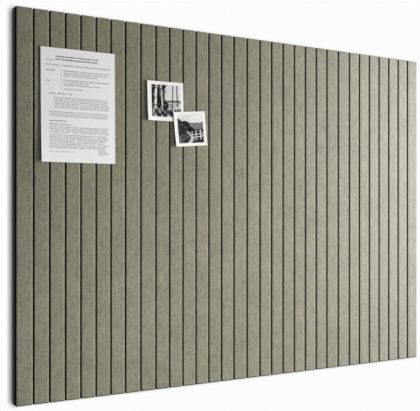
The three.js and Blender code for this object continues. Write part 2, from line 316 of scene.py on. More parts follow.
def stage_material(name, bounce, level, reach):
    """A matt surface for the rays that light the board. Seen or mirrored, it is plain light at the given level.
    It darkens only where another surface stands closer than the reach: the soft shadow of board on wall."""
    material = bpy.data.materials.new(name)
    material.use_nodes = True
    material.node_tree.nodes.clear()
    nodes = Nodes(material.node_tree)
    matt = nodes.add("ShaderNodeBsdfDiffuse", {"Color": (bounce, bounce, bounce, 1)}).outputs[0]
    openness = nodes.add("ShaderNodeAmbientOcclusion", {"Distance": reach}, samples=16).outputs["AO"]
    shade = nodes.math("MULTIPLY", nodes.math("POWER", openness, SHADOW_DEPTH), level)
    light = nodes.add("ShaderNodeEmission", {"Strength": shade}).outputs[0]
    front = nodes.add("ShaderNodeMixShader", {0: seen_rays(nodes), 1: matt, 2: light}).outputs[0]
    from_behind = nodes.add("ShaderNodeNewGeometry").outputs["Backfacing"]
    from_lamp = nodes.add("ShaderNodeLightPath").outputs["Is Shadow Ray"]
    through = nodes.math("MAXIMUM", from_behind, from_lamp)
    clear = nodes.add("ShaderNodeBsdfTransparent").outputs[0]
    whole = nodes.add("ShaderNodeMixShader", {0: through, 1: front, 2: clear}).outputs[0]
    nodes.add("ShaderNodeOutputMaterial", {"Surface": whole})
    return material


wall = flat_piece("wall", [
    (-STAGE_HALF, WALL_GAP, floor_z + WALL_FOOT),
    (STAGE_HALF, WALL_GAP, floor_z + WALL_FOOT),
    (STAGE_HALF, WALL_GAP, WALL_TOP),
    (-STAGE_HALF, WALL_GAP, WALL_TOP),
])
floor = flat_piece("floor", [
    (-STAGE_HALF, -STAGE_HALF, floor_z),
    (STAGE_HALF, -STAGE_HALF, floor_z),
    (STAGE_HALF, STAGE_HALF, floor_z),
    (-STAGE_HALF, STAGE_HALF, floor_z),
])
wall.data.materials.append(stage_material("white_wall", bounce=0.6, level=0.97, reach=0.016))
floor.data.materials.append(stage_material("pale_floor", bounce=0.22, level=0.95, reach=0.02))
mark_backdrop(wall, floor)
print("stage:", wall.name, floor.name)

# %% [markdown]
# ## The light
# In the photo a broad light stands off to the right, so the felt is brightest at the right end, the slats' right
# edges are lighter than their faces, and the left side of the board and the grooves are in the dark. Two lamps
# stand for that window and a nearer one helps it at the right end. Two weak lamps close to the board lift the
# lower left of the felt, which the others leave a little darker than in the photo. The last lamp lights the back.
# No lamp is in the camera's sight, and a faint light from all round, stronger from above, fills the rest.

# %% Set the lamps
WINDOW_TINT = (1, 0.985, 0.965)
PLAIN_TINT = (1, 1, 1)
board_middle = Vector((0, felt_front, (board_top + board_bottom) / 2))
# Each lamp: its name, place and target, its width and height in metres, watts and tint
LAMPS = [
    ("window_right", (4.6, -2.9, -0.3), board_middle, 1.2, 3.0, 112, WINDOW_TINT),
    ("window_low", (4.6, -2.9, -1.2), board_middle, 1.2, 2.0, 214, WINDOW_TINT),
    ("near_right", (2.4, -1.3, 0.2), (0.6, 0, -0.4), 0.8, 1.2, 57, WINDOW_TINT),
    ("near_low", (-0.2, -0.9, -1.1), (-0.2, 0, -0.6), 0.8, 0.6, 3.1, PLAIN_TINT),
    ("near_middle", (-0.25, -0.7, -0.65), (-0.25, 0, -0.6), 0.5, 0.5, 1.1, PLAIN_TINT),
    ("soft_back", (2.4, 2.6, 1.3), board_middle, 2.0, 2.0, 400, PLAIN_TINT),
]


def soft_lamp(name, place, target, wide, tall, watts, tint):
    """A lamp with a flat, evenly lit front, aimed from its place at a target and unseen by the camera."""
    lamp_data = bpy.data.lights.new(name, "AREA")
    lamp_data.shape = "RECTANGLE"
    lamp_data.size, lamp_data.size_y = wide, tall
    lamp_data.energy = watts
    lamp_data.color = tint
    lamp = bpy.data.objects.new(name, lamp_data)
    lamp.location = place
    lamp.rotation_euler = (Vector(target) - Vector(place)).to_track_quat("-Z", "Y").to_euler()
    lamp.visible_camera = False
    bpy.context.scene.collection.objects.link(lamp)


for lamp_values in LAMPS:
    soft_lamp(*lamp_values)
print("lamps:", [light.name for light in bpy.data.lights])

# %% Set the light from all round
ROOM_BELOW, ROOM_ABOVE, ROOM_SEEN = 0.035, 0.09, 0.97
RISE_FROM, RISE_TO = -0.5, 0.4

world = bpy.data.worlds.new("studio")
bpy.context.scene.world = world
world.use_nodes = True
world.node_tree.nodes.clear()
room = Nodes(world.node_tree)
upward = room.add("ShaderNodeTexCoord").outputs["Generated"]
upward = room.add("ShaderNodeSeparateXYZ", {0: upward}).outputs["Z"]
glow = room.span(upward, RISE_FROM, RISE_TO, ROOM_BELOW, ROOM_ABOVE)
glow = room.add("ShaderNodeMix", {0: seen_rays(room), 2: glow, 3: ROOM_SEEN}).outputs[0]
room_light = room.add("ShaderNodeBackground", {"Color": (1, 1, 1, 1), "Strength": glow}).outputs[0]
room.add("ShaderNodeOutputWorld", {"Surface": room_light})
print(f"room light {ROOM_BELOW} below to {ROOM_ABOVE} above, seen as {ROOM_SEEN}")

# %% [markdown]
# ## Pressed felt
# The felt is a mat of polyester fibres, pressed hard. Close up, single fibres cross each other in loose curls.
# From a step away they blur into a mottled, slightly streaked surface. Both scales are needed: thin ridges of a
# folded noise make the fibres, and clouds, upright streaks, flecks and wide drifts make the mottling. The fibres
# also raise the surface, which the same pattern gives as a height. The group serves olive and black felt alike.

# %% Build the felt's fibres
felt_group, make, given, result = new_group(
    "felt_fibres",
    [
        ("Vector", VECTOR, None),
        ("Felt", COLOUR, (0.5, 0.5, 0.5, 1)),
        ("Dark Fibre", COLOUR, (0.2, 0.2, 0.2, 1)),
        ("Light Fibre", COLOUR, (0.8, 0.8, 0.8, 1)),
        ("Mottling", FLOAT, 0.3),
    ],
    [("Color", COLOUR), ("Height", FLOAT)],
)
FIBRE_COVER = 0.5
place = given["Vector"]


def thin_ridges(stretch, scale, thickness):
    """Fibre-like lines: one where a noise crosses its middle value, falling to nought on both sides of it."""
    wave = make.noise(make.stretched(place, stretch), scale, detail=1.5, distort=0.6)
    off_middle = make.math("ABSOLUTE", make.math("SUBTRACT", wave, 0.5))
    return make.span(off_middle, 0.0, thickness, 1.0, 0.0, smooth=True)


upright_fibres = thin_ridges((1.0, 1.0, 0.4), 900, 0.03)
level_fibres = thin_ridges((0.45, 1.0, 1.0), 1200, 0.035)
deep_fibres = thin_ridges((0.7, 1.0, 0.6), 800, 0.03)
light_fibres = make.math("MAXIMUM", upright_fibres, level_fibres)
fluff = make.noise(place, 2600, detail=2, rough=0.7)
clouds = make.noise(make.stretched(place, (1.0, 1.0, 0.75)), 115, detail=4, rough=0.68)
streaks = make.noise(make.stretched(place, (1.0, 1.0, 0.12)), 210, detail=2, rough=0.55)
flecks = make.noise(make.stretched(place, (1.0, 1.0, 0.8)), 290, detail=1.5, rough=0.5)
drifts = make.noise(place, 14, detail=2)
mottle = make.chain("ADD", make.swing(clouds, 1.5), make.swing(streaks), make.swing(drifts, 0.6),
                    make.swing(flecks, 1.3), make.swing(fluff))
level = make.math("ADD", 1.0, make.math("MULTIPLY", mottle, given["Mottling"]))
colour = make.blend(1.0, given["Felt"], make.grey(level), mode="MULTIPLY")
colour = make.blend(make.math("MULTIPLY", deep_fibres, FIBRE_COVER), colour, given["Dark Fibre"])
colour = make.blend(make.math("MULTIPLY", light_fibres, FIBRE_COVER), colour, given["Light Fibre"])
make.fill(result["Color"], colour)
height = make.chain("ADD", make.math("MULTIPLY", light_fibres, 0.22), make.math("MULTIPLY", fluff, 0.35), clouds)
make.fill(result["Height"], make.math("SUBTRACT", height, make.math("MULTIPLY", deep_fibres, 0.15)))
print("felt pattern:", len(felt_group.nodes), "nodes")

# %% [markdown]
# ## Three felts
# The slats' face is olive felt with a faint gloss. Down in a groove no light from the window arrives, and a white
# room mirrored there would make it grey. So the groove's walls have a second olive felt, the same but without
# gloss, and both get a painted shade that deepens with their depth below the face, which each slat keeps as a
# value for each point. The sheet behind the slats is black felt of the same make.

# %% Make the three felts
FELT_ROUGH, DULL = 0.4, 1.0
GROOVE_FROM, GROOVE_TO = 0.05, 0.35
DULL_FROM, DULL_TO = 0.06, 0.3
OLIVE_FIBRES = {
    "Felt": (0.151, 0.1468, 0.0965, 1), "Dark Fibre": (0.074, 0.073, 0.045, 1),
    "Light Fibre": (0.252, 0.247, 0.176, 1), "Mottling": 0.8,
}
BLACK_FIBRES = {
    "Felt": (0.008, 0.008, 0.008, 1), "Dark Fibre": (0.004, 0.004, 0.004, 1),
    "Light Fibre": (0.03, 0.03, 0.031, 1), "Mottling": 0.6,
}
# The painted shade that the grooves' walls go over to, deeper down
GROOVE_SHADE_COLOUR = (0.008, 0.0078, 0.005, 1)


def felt_material(name, fibres, gloss, groove_shade_colour=None):
    """Felt in the given fibres. Where a groove's shade colour is given, the felt also takes its slat's tone and
    painted edge highlight, and goes over to that painted shade and to a dull surface with the depth below the
    face."""
    material, nodes, shader = new_material(name, Roughness=FELT_ROUGH, Specular_IOR_Level=gloss)
    pattern = place_group(nodes, felt_group, fibres)
    colour = pattern["Color"]
    if groove_shade_colour is not None:
        depth = nodes.kept("groove_depth")
        colour = nodes.blend(1.0, colour, nodes.kept("slat_tone", "Color"), mode="MULTIPLY")
        # Painted shade on the groove's walls, deepening with the depth below the face
        groove_shade_share = nodes.span(depth, GROOVE_FROM, GROOVE_TO, 0.0, 1.0, smooth=True)
        colour = nodes.blend(groove_shade_share, colour, groove_shade_colour)
        nodes.fill(shader.inputs["Roughness"], nodes.span(depth, DULL_FROM, DULL_TO, FELT_ROUGH, DULL))
    nodes.fill(shader.inputs["Base Color"], colour)
    raise_surface(nodes, shader, pattern["Height"], distance=0.3 * MM, strength=0.5)
    return material


olive_felt = felt_material("olive_felt", OLIVE_FIBRES, gloss=0.25, groove_shade_colour=GROOVE_SHADE_COLOUR)
groove_felt = felt_material("groove_felt", OLIVE_FIBRES, gloss=0.0, groove_shade_colour=GROOVE_SHADE_COLOUR)
black_felt = felt_material("black_felt", BLACK_FIBRES, gloss=0.0)
print("felts:", olive_felt.name, groove_felt.name, black_felt.name)

# %% [markdown]
# ## Helpers for surfaces
# A new piece is a grid of points worked out by numpy as whole arrays. `loop_faces` joins rows of points that
# close on themselves, as round a slat or a screw, `closed_faces` also shuts both ends, and `sheet_faces` joins
# rows that stay open. `new_piece` puts the arrays into a mesh. `dress` gives a mesh its finish, hides the solid
# that it stands for, and hangs it on the body that carries that solid.

# %% Write the surface helpers
WAVES = 6
WAVE_LENGTHS = (0.6, 1.6)


def loop_faces(rows, columns):
    """Four-sided faces between rows of a tube, where the last point of a row joins the first."""
    row, column = np.meshgrid(np.arange(rows - 1), np.arange(columns), indexing="ij")
    beside = (column + 1) % columns
    quads = [row * columns + column, row * columns + beside,
             (row + 1) * columns + beside, (row + 1) * columns + column]
    return np.stack(quads, axis=-1).reshape(-1, 4)


def closed_faces(rows, columns):
    """The faces of a tube, and after them the flat face of each end."""
    ends = [tuple(range(columns)), tuple(range((rows - 1) * columns, rows * columns))]
    return list(loop_faces(rows, columns)) + ends


def sheet_faces(rows, columns):
    """Four-sided faces of an open grid."""
    row, column = np.meshgrid(np.arange(rows - 1), np.arange(columns - 1), indexing="ij")
    first = row * columns + column
    return np.stack([first, first + 1, first + columns + 1, first + columns], axis=-1).reshape(-1, 4)


def dress(name, mesh, stands_for, material):
    """A piece in its finish that rides and stands where its CAD node does."""
    mesh.materials.append(material)
    piece = bpy.data.objects.new(name, mesh)
    bpy.context.scene.collection.objects.link(piece)
    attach(piece, frame["nodes"][stands_for]["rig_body"])
    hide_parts(stands_for)
    return piece


def new_piece(name, points, faces, stands_for, material, sharp_degrees=40):
    """A dressed piece from points and faces, which are turned to point outwards."""
    mesh = bpy.data.meshes.new(name)
    mesh.from_pydata(np.asarray(points, float).reshape(-1, 3), [], [tuple(face) for face in faces])
    shell = bmesh.new()
    shell.from_mesh(mesh)
    bmesh.ops.recalc_face_normals(shell, faces=shell.faces)
    shell.to_mesh(mesh)
    shell.free()
    mesh.polygons.foreach_set("use_smooth", np.ones(len(mesh.polygons), bool))
    mesh.set_sharp_from_angle(angle=math.radians(sharp_degrees))
    return dress(name, mesh, stands_for, material)


def read_all(items, key, parts=1, kind=float):
    """One property of all points, faces or corners of a mesh: a number or a row of numbers for each."""
    values = np.zeros(parts * len(items), kind)
    items.foreach_get(key, values)
    return values if parts == 1 else values.reshape(-1, parts)


def set_values(piece, name, values):
    """Keeps one number for each point of a piece, for its material to read."""
    attribute = piece.data.attributes.new(name, "FLOAT", "POINT")
    attribute.data.foreach_set("value", np.asarray(values, np.float32).ravel())


def set_colours(piece, name, colours):
    """Keeps a colour for each point of a piece, for its material to read."""
    colours = np.asarray(colours).reshape(-1, 3)
    attribute = piece.data.attributes.new(name, "FLOAT_COLOR", "POINT")
    full = np.column_stack([colours, np.ones(len(colours))]).astype(np.float32)
    attribute.data.foreach_set("color", full.ravel())


def soft_waves(x, z, wave_length, seed):
    """A smooth, uneven surface between -1 and 1: the mean of a few sine waves that run in seeded directions."""
    chance = np.random.default_rng(seed)
    total = np.zeros(np.broadcast(x, z).shape)
    for _ in range(WAVES):
        way = chance.uniform(0, 2 * np.pi)
        length = wave_length * chance.uniform(*WAVE_LENGTHS)
        phase = chance.uniform(0, 2 * np.pi)
        total += np.sin(2 * np.pi * (x * np.cos(way) + z * np.sin(way)) / length + phase)
    return total / WAVES


print("a closed tube with 3 rows of 4 points has", len(closed_faces(3, 4)), "faces")

# %% [markdown]
# ## The slats
# A slat is cut from thick felt and its front edges are eased where the blade and years of handling rounded them.
# Its section runs up one side, round the eased edge, across the face and down the other side. The section is
# carried up the slat, and at both ends the face turns back in the same curve. The face isn't dead flat: pressed
# felt has shallow waves, and its cut edges wander by a fraction of a millimetre.

# %% Shape a slat
EASE, END_EASE = 2.2 * MM, 0.8 * MM
EASE_STEPS, SIDE_STEPS, FACE_STEPS = 6, 3, 10
FOOT_TALL = 3.4 * MM
FOOT_ROWS, SLAT_ROWS = 4, 90
FACE_WAVE, FACE_WAVE_LONG = 0.16 * MM, 0.09
EDGE_WANDER, EDGE_WAVE_LONG = 0.03 * MM, 0.12
WAVES_FROM_END = 3 * EASE
EDGE_SEED = 500


def slat_section(width, depth):
    """Points round a slat's section as (across, depth): up the left side, round, over the face and down again."""
    angle = np.linspace(0, np.pi / 2, EASE_STEPS + 1)
    inset = EASE * (1 - np.cos(angle))
    reach = depth - EASE + EASE * np.sin(angle)
    side = np.linspace(0, depth - EASE, SIDE_STEPS + 1)[:-1]
    face = np.linspace(EASE, width - EASE, FACE_STEPS + 1)[1:-1]
    left = np.column_stack([np.r_[np.zeros(SIDE_STEPS), inset], np.r_[side, reach]])
    right = np.column_stack([width - left[::-1, 0], left[::-1, 1]])
    return np.vstack([left, np.column_stack([face, np.full(len(face), depth)]), right])


def slat_rows(tall):
    """Heights of the rows up a slat: close together round both ends and over the foot, which gets a painted shade.
    """
    end = END_EASE * (1 - np.cos(np.linspace(0, np.pi / 2, EASE_STEPS + 1)))
    foot = np.linspace(END_EASE, FOOT_TALL, FOOT_ROWS + 1)[1:]
    middle = np.linspace(FOOT_TALL, tall - END_EASE, SLAT_ROWS)[1:-1]
    return np.r_[end, foot, middle, tall - end[::-1]]


def slat_grid(width, depth, tall, left, seed):
    """The section carried up the rows, as grids of across, depth and height. Near the ends the depth is held
    back by a quarter circle. Then the face sinks by its waves and the eased edges move inwards by theirs."""
    section, up = slat_section(width, depth), slat_rows(tall)
    from_end = np.minimum(up, tall - up)
    held = depth - END_EASE + np.sqrt(END_EASE**2 - np.clip(END_EASE - from_end, 0, END_EASE) ** 2)
    x = np.tile(section[:, 0], (len(up), 1))
    y = np.minimum(section[None, :, 1], held[:, None])
    z = np.tile(up[:, None], (1, len(section)))
    on_face = np.clip((y - (depth - EASE)) / EASE, 0, 1) * np.clip(from_end[:, None] / WAVES_FROM_END, 0, 1)
    y = y - FACE_WAVE * on_face * (1 + soft_waves(x + left, z, FACE_WAVE_LONG, seed))
    on_edge = np.abs(x - width / 2) > width / 2 - EASE
    inwards = np.where(x < width / 2, 1.0, -1.0) * np.clip(y / EASE, 0, 1) * on_edge
    x = x + EDGE_WANDER * inwards * (1 + soft_waves(inwards, z, EDGE_WAVE_LONG, seed + EDGE_SEED))
    return x, y, z


print("rows up a slat:", len(slat_rows(board_height)))

# %% [markdown]
# ## What each slat keeps for its felt
# The depth below the face sets the painted shade on the groove's walls. The same value also carries three more
# painted shades and lights. The foot gets painted shade where the slat turns under. The right edges face the
# window, so they get less of the painted shade and look lighter. On the right half of the board the left edges
# turn away and get more painted shade. The second thing that a slat keeps is its tone: no two slats have quite the
# same colour, the last ones are a little darker, and a band along the eased edges is lighter than the face, partly
# loose fibres and partly a painted highlight, most on the right edges and on the left of the board.

# %% Make the slats
# Painted shade at the foot, and how much of the groove's painted shade the lit right edges lose
FOOT_SHADE, LIT_EDGE = 0.6, 0.14
LIT_EDGE_WIDE, DARK_EDGE_WIDE = 1.5 * EASE, 1.01 * EASE
# How a painted shade or highlight changes along the board: two places across, and the strength at each
DARK_EDGE = ((-0.3, 0.0), (0.0, 0.12))
FUZZ_HIGHLIGHT_RIGHT = ((-0.49, -0.35), (0.7, 0.3))
# The left edges' band of fuzz and painted highlight, the same all along the board
FUZZ_HIGHLIGHT_LEFT = 0.15
# The lighter band of fuzz and painted highlight on an eased edge: its middle and half its width, in shares of the
# ease
FUZZ_HIGHLIGHT_MIDDLE, FUZZ_HIGHLIGHT_HALF = 0.7, 0.6
TONE_SPREAD, WARMTH_SPREAD = 0.015, 0.006
RIGHT_END_TONE, RIGHT_END_SHARE = 0.87, 0.25
TONE_SEED = 900
DEEP_SHARE = 0.3


def groove_depth(x, y, z, width, depth, tall, left):
    """Nought on the face and one at the back, for the groove's painted shade, with the foot's painted shade, less
    of it on the lit edge and more on the dark edge laid on.
    """
    foot = FOOT_SHADE * np.clip(1 - z / FOOT_TALL, 0, 1)
    top_end = np.clip((z - tall + END_EASE) / END_EASE, 0, 1)
    lit = LIT_EDGE * (x > width - LIT_EDGE_WIDE)
    dark = np.interp(left, *DARK_EDGE) * (x < DARK_EDGE_WIDE)
    return (1 - y / depth) * (1 - top_end) + foot - lit + dark


def slat_tone(x, width, left, seed):
    """A slat's brightness and warmth, a little lower at the right end, as a colour near white, raised over a band
    on both edges for fuzz and a painted highlight.
    """
    chance = np.random.default_rng(seed + TONE_SEED)
    place_across = (left + width / 2) / board_right
    at_right_end = np.clip((place_across - 1) / RIGHT_END_SHARE + 1, 0, 1)
    brightness = 1 + TONE_SPREAD * chance.standard_normal()
    brightness *= 1 - (1 - RIGHT_END_TONE) * at_right_end**2
    warmth = WARMTH_SPREAD * chance.standard_normal()
    tone = np.array([brightness * (1 + warmth), brightness, brightness * (1 - 2 * warmth)])
    from_side = np.minimum(x, width - x) / EASE
    fuzz_highlight = np.where(x > width / 2, np.interp(left + width, *FUZZ_HIGHLIGHT_RIGHT), FUZZ_HIGHLIGHT_LEFT)
    fuzz_highlight = 1 + fuzz_highlight * np.clip(1 - np.abs(from_side - FUZZ_HIGHLIGHT_MIDDLE) / FUZZ_HIGHLIGHT_HALF, 0, 1)
    return tone * fuzz_highlight[..., None]


def make_slat(name, seed):
    """A closed tube of the slat's grid. Its walls, deeper than a share of its depth, get the grooves' felt."""
    low, high = slat_boxes[name]
    width, depth, tall = size = [high[axis] - low[axis] for axis in range(3)]
    x, y, z = slat_grid(*size, low.x, seed)
    points = np.stack([low.x + x, high.y - y, low.z + z], axis=-1)
    faces = closed_faces(*x.shape)
    piece = new_piece(name.replace("felt_slat", "slat"), points, faces, name, olive_felt)
    piece.data.materials.append(groove_felt)
    deep = read_all(piece.data.polygons, "center", parts=3)[:, 1] > low.y + DEEP_SHARE * depth
    deep[-2:] = False
    piece.data.polygons.foreach_set("material_index", deep.astype(np.int32))
    set_values(piece, "groove_depth", groove_depth(x, y, z, *size, low.x))
    set_colours(piece, "slat_tone", slat_tone(x, width, low.x, seed))
    return piece


slats = [make_slat(name, number) for number, name in enumerate(SLATS)]
print("slats:", len(slats), "points each:", len(slats[0].data.vertices))

# %% [markdown]
# ## Edges that aren't razor sharp
# The frame, the cleats and the backing have the right shape already, but a solid with perfectly sharp edges
# never catches the light as a real one does. A copy of each is merged into one skin, its flat faces are cleared
# of the triangles they came in, and its edges are rounded by a small bevel.

# %% Soften a solid
MERGE_REACH = 0.01 * MM
FLAT_TURN, SHARP_TURN = math.radians(1), math.radians(35)
NO_LENGTH = 1e-12


def keep_faces_flat(mesh):
    """Gives each point the mean direction of its faces, weighted by area, so that big faces shade as flat."""
    directions = read_all(mesh.polygons, "normal", parts=3)
    areas = read_all(mesh.polygons, "area")
    corner_counts = read_all(mesh.polygons, "loop_total", kind=np.int32)
    corners = read_all(mesh.loops, "vertex_index", kind=np.int32)
    total = np.zeros((len(mesh.vertices), 3))
    np.add.at(total, corners, np.repeat(directions * areas[:, None], corner_counts, axis=0))
    total /= np.maximum(np.linalg.norm(total, axis=1, keepdims=True), NO_LENGTH)
    mesh.normals_split_custom_set_from_vertices(total.tolist())


def softened(node, name, material, ease, steps):
    """A dressed copy of a CAD node whose sharp edges are rounded by a bevel of the given width and steps."""
    shell = bmesh.new()
    shell.from_mesh(frame["nodes"][node].data)
    bmesh.ops.remove_doubles(shell, verts=shell.verts, dist=MERGE_REACH)
    bmesh.ops.dissolve_limit(shell, angle_limit=FLAT_TURN, verts=shell.verts, edges=shell.edges)
    sharp = [edge for edge in shell.edges if len(edge.link_faces) == 2 and edge.calc_face_angle() > SHARP_TURN]
    bmesh.ops.bevel(shell, geom=sharp, offset=ease, segments=steps, profile=0.5, affect="EDGES",
                    clamp_overlap=True)
    mesh = bpy.data.meshes.new(name)
    shell.to_mesh(mesh)
    shell.free()
    mesh.polygons.foreach_set("use_smooth", np.ones(len(mesh.polygons), bool))
    keep_faces_flat(mesh)
    return dress(name, mesh, node, material)


print(f"edges that turn by more than {math.degrees(SHARP_TURN):.0f} degrees are rounded")

# %% [markdown]
# ## Lacquer, metal and rubber
# The frame is fibreboard under satin black lacquer, which shows a fine orange-peel ripple and a little dust. The
# cleats are aluminium as it left the mill, with faint lines drawn along their length. The bumpers are moulded
# rubber with a dull, speckled skin. One group of nodes makes the dust and fine grain that they all share.

# %% Build the shared grain
grain_group, make, given, result = new_group(
    "surface_grain",
    [
        ("Vector", VECTOR, None),
        ("Stretch", VECTOR, (1, 1, 1)),
        ("Grain Scale", FLOAT, 800.0),
        ("Colour", COLOUR, (0.5, 0.5, 0.5, 1)),
        ("Dust", COLOUR, (0.5, 0.5, 0.5, 1)),
        ("Dust Share", FLOAT, 0.1),
        ("Roughness", FLOAT, 0.4),
        ("Roughness Spread", FLOAT, 0.1),
    ],
    [("Color", COLOUR), ("Roughness", FLOAT), ("Height", FLOAT)],
)
grain = make.noise(make.stretched(given["Vector"], given["Stretch"]), given["Grain Scale"], detail=3, rough=0.6)
patches = make.noise(given["Vector"], 22, detail=4, rough=0.6)
specks = make.noise(given["Vector"], 700, detail=2, rough=0.8)
dust = make.math("MULTIPLY", make.span(patches, 0.35, 0.75, 0, 1), make.span(specks, 0.4, 0.7, 0.3, 1))
dusty = make.math("MULTIPLY", dust, given["Dust Share"])
make.fill(result["Color"], make.blend(dusty, given["Colour"], given["Dust"]))
uneven = make.math("ADD", make.swing(grain), make.swing(patches))
uneven = make.math("MULTIPLY", uneven, given["Roughness Spread"])
make.fill(result["Roughness"], make.math("ADD", given["Roughness"], uneven))
make.fill(result["Height"], grain)
print("grain:", len(grain_group.nodes), "nodes")

# %% Make the plain finishes
GRAIN_STRENGTH = 0.6
EVEN, DRAWN_ALONG = (1, 1, 1), (0.012, 1, 1)


def grained_material(name, colour, dust, dust_share, rough, spread, scale, depth, stretch=EVEN, **constants):
    """A finish with the shared grain: its colour, dust, roughness and a fine bump all vary over the surface."""
    material, nodes, shader = new_material(name, **constants)
    skin = place_group(nodes, grain_group, {
        "Stretch": stretch, "Grain Scale": scale, "Colour": (*colour, 1), "Dust": (*dust, 1),
        "Dust Share": dust_share, "Roughness": rough, "Roughness Spread": spread,
    })
    nodes.fill(shader.inputs["Base Color"], skin["Color"])
    nodes.fill(shader.inputs["Roughness"], skin["Roughness"])
    raise_surface(nodes, shader, skin["Height"], depth, GRAIN_STRENGTH)
    return material


black_lacquer = grained_material(
    "black_lacquer", colour=(0.018, 0.018, 0.019), dust=(0.06, 0.06, 0.056), dust_share=0.25,
    rough=0.48, spread=0.18, scale=900, depth=0.12 * MM, Specular_IOR_Level=0.09,
)
mill_aluminium = grained_material(
    "mill_aluminium", colour=(0.4, 0.41, 0.42), dust=(0.28, 0.28, 0.27), dust_share=0.18,
    rough=0.38, spread=0.12, scale=2600, depth=0.04 * MM, stretch=DRAWN_ALONG, Metallic=1.0,
)
bright_zinc = grained_material(
    "bright_zinc", colour=(0.5, 0.51, 0.5), dust=(0.3, 0.28, 0.23), dust_share=0.35,
    rough=0.26, spread=0.25, scale=2500, depth=0.03 * MM, Metallic=1.0,
)
black_rubber = grained_material(
    "black_rubber", colour=(0.016, 0.016, 0.017), dust=(0.12, 0.12, 0.115), dust_share=0.3,
    rough=0.75, spread=0.2, scale=2600, depth=0.1 * MM,
)
hook_tape = grained_material(
    "hook_tape", colour=(0.02, 0.02, 0.022), dust=(0.06, 0.06, 0.06), dust_share=0.3,
    rough=0.7, spread=0.2, scale=3600, depth=0.6 * MM,
)
print("finishes:", [material.name for material in bpy.data.materials])

# %% [markdown]
# ## Backings, frame, cleats and pads
# How round an edge is depends on how it was cut. Thin felt is cut by a knife and keeps a crisp edge. The lacquered
# members have their edges broken with sandpaper, so they get the widest round. Sheet metal is only deburred. The
# pads' foam and tape are soft at their rims.

# %% Dress the backings, frame, cleats and pads
BACKINGS = [f"felt_backing_{number}" for number in range(1, 5)]
FRAME_MEMBERS = sorted(name for name in frame["nodes"] if name.startswith("frame_"))
CLEATS = {"board_cleat": "hanging_cleat", "wall_cleat": "wall_strip"}
PADS = ["note_hook_pad", "print_hook_pad_1", "print_hook_pad_2"]

for node in BACKINGS:
    softened(node, node.replace("felt_", ""), black_felt, ease=0.5 * MM, steps=2)
for node in FRAME_MEMBERS:
    softened(node, node.replace("frame_", "black_"), black_lacquer, ease=1.0 * MM, steps=3)
for node, name in CLEATS.items():
    softened(node, name, mill_aluminium, ease=0.35 * MM, steps=2)
for node in PADS:
    softened(node, node.replace("hook_pad", "pad"), hook_tape, ease=0.8 * MM, steps=3)
print("softened pieces:", len(BACKINGS) + len(FRAME_MEMBERS) + len(CLEATS) + len(PADS))

# %% [markdown]
# ## Screws and bumpers
# Both are turned shapes: a profile carried round an axis. The screw's head also has a cross recess for the
# driver, which is a change of depth with the angle, so the head is worked out on a grid of rings and angles.

# %% Make the screws
SCREW_TURNS = 48
# Shares of the head's radius
SHANK_RADIUS, TIP_RADIUS = 1.75 / 3.8, 0.02
HEAD_TALL, RIM_TALL, RIM_INSET = 0.5, 0.06, 0.97
CROSS_ARM, CROSS_REACH, CROSS_DEEP = 0.15, 0.58, 0.34
ARM_BLUR, REACH_BLUR = 0.06, 0.12
CROSS_FROM = 0.2
# Shares of the shank's length
POINT_LONG, SHANK_STOP = 0.2, 0.01
DOME_STEPS, DOME_POWER = 14, 3.2
POINT_STEPS = 6
SCREW_SHARP = 30


def turned(profile, centre, turns):
    """Rings round an axis along Y. The profile gives (radius, depth), with depth towards the wall."""
    angle = np.linspace(0, 2 * np.pi, turns, endpoint=False)
    radius, depth = profile[:, 0][:, None], profile[:, 1][:, None]
    x = centre.x + radius * np.cos(angle)
    z = centre.z + radius * np.sin(angle)
    y = centre.y + depth + 0 * angle
    return np.stack([x, y, z], axis=-1)


def screw_profile(head_radius, length):
    """From the point up the shank, round the rim of the head and over its dome to the middle. The dome falls
    from its top by a high power of the distance from the middle, which leaves the top nearly flat."""
    shank_radius, rim = head_radius * SHANK_RADIUS, head_radius * RIM_TALL
    point = np.column_stack([
        np.linspace(TIP_RADIUS, 1, POINT_STEPS) * shank_radius,
        np.linspace(0, POINT_LONG, POINT_STEPS) * length - length,
    ])
    shank = [[shank_radius, -SHANK_STOP * length], [head_radius * RIM_INSET, 0], [head_radius, rim]]
    share = np.linspace(0, 1, DOME_STEPS)[1:-1]
    dome_tall = head_radius * (HEAD_TALL - RIM_TALL)
    dome = np.column_stack([head_radius * (1 - share), rim + dome_tall * (1 - (1 - share) ** DOME_POWER)])
    return np.vstack([point, shank, dome, [[head_radius * TIP_RADIUS, head_radius * HEAD_TALL]]])


def make_screw(node):
    """A pan-head screw. The recess is a cross whose arms are shares of the head's radius and sink to a point."""
    low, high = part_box(node)
    head_radius = (high.x - low.x) / 2
    seat_y = high.y - head_radius * HEAD_TALL
    centre = Vector(((low.x + high.x) / 2, seat_y, (low.z + high.z) / 2))
    profile = screw_profile(head_radius, seat_y - low.y)
    points = turned(profile, centre, SCREW_TURNS)
    across = np.abs(points[..., 0] - centre.x) / head_radius
    upward = np.abs(points[..., 2] - centre.z) / head_radius
    from_arm = np.clip((CROSS_ARM - np.minimum(across, upward)) / ARM_BLUR, 0, 1)
    from_end = np.clip((CROSS_REACH - np.maximum(across, upward)) / REACH_BLUR, 0, 1)
    on_head = points[..., 1] > centre.y + head_radius * CROSS_FROM
    points[..., 1] -= np.where(on_head, from_arm * from_end * head_radius * CROSS_DEEP, 0)
    faces = closed_faces(len(profile), SCREW_TURNS)
    return new_piece(node.replace("cleat_screw", "pan_screw"), points, faces, node, bright_zinc,
                     SCREW_SHARP)


screws = [make_screw(node) for node in sorted(frame["nodes"]) if node.startswith("cleat_screw_")]
print("screws:", len(screws))

# %% Make the bumpers
BUMPER_TURNS = 64
# Shares of the bumper's thickness
RIM_ROUND, DISH_DEEP, FRONT_ROUND = 0.24, 0.18, 0.04
